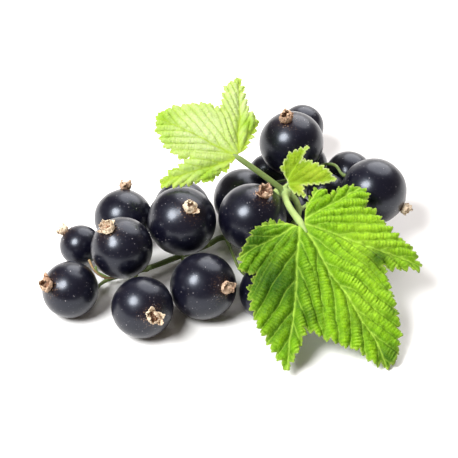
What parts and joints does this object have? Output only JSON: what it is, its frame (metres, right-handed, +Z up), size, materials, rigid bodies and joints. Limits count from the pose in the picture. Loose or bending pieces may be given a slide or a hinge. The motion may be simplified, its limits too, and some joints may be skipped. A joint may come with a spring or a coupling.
{
  "type": "blackcurrant sprig",
  "caption": "Blackcurrant sprig as picked: glossy dark berries with withered crowns on green strigs, with toothed lobed leaves, lying on a table.",
  "frame": {"origin": "on the table, under the middle of the sprig's bounding box", "axes": "+Z up; +X along the sprig, from the tip of the left strig towards the large leaf's right lobe; +Y away from the large leaf's tips, towards the end of the right strig"},
  "size_m": [0.068, 0.0684, 0.0272],
  "materials": {
    "berry_skin": "waxy semi-gloss skin, blue-black with a faint bloom and fine pale specks",
    "dry_crown": "dry, papery and matte, straw to reddish brown",
    "stem_green": "fresh green stem, satin, darker and browner along the strigs",
    "leaf_green": "bright green leaf with paler veins, wrinkled, with a soft sheen",
    "young_leaf_green": "pale yellow-green young leaf with pleats and soft veins"
  },
  "bodies": {
    "root": {"berry_left_1": "berry_skin", "berry_left_2": "berry_skin", "berry_left_3": "berry_skin", "berry_left_4": "berry_skin", "berry_left_5": "berry_skin", "berry_left_6": "berry_skin", "berry_left_7": "berry_skin", "berry_left_8": "berry_skin", "berry_left_9": "berry_skin", "berry_left_10": "berry_skin", "berry_left_11": "berry_skin", "berry_right_1": "berry_skin", "berry_right_2": "berry_skin", "berry_right_3": "berry_skin", "berry_right_4": "berry_skin", "berry_right_5": "berry_skin", "berry_right_6": "berry_skin", "berry_right_7": "berry_skin", "berry_right_8": "berry_skin", "crown_left_1": "dry_crown", "crown_left_2": "dry_crown", "crown_left_3": "dry_crown", "crown_left_4": "dry_crown", "crown_left_5": "dry_crown", "crown_left_6": "dry_crown", "crown_left_7": "dry_crown", "crown_left_8": "dry_crown", "crown_left_9": "dry_crown", "crown_left_10": "dry_crown", "crown_left_11": "dry_crown", "crown_right_1": "dry_crown", "crown_right_2": "dry_crown", "crown_right_3": "dry_crown", "crown_right_4": "dry_crown", "crown_right_5": "dry_crown", "crown_right_6": "dry_crown", "crown_right_7": "dry_crown", "crown_right_8": "dry_crown", "stem": "stem_green", "leaf_large": "leaf_green", "leaf_upper": "young_leaf_green", "leaf_small": "young_leaf_green"}
  },
  "joints": []
}
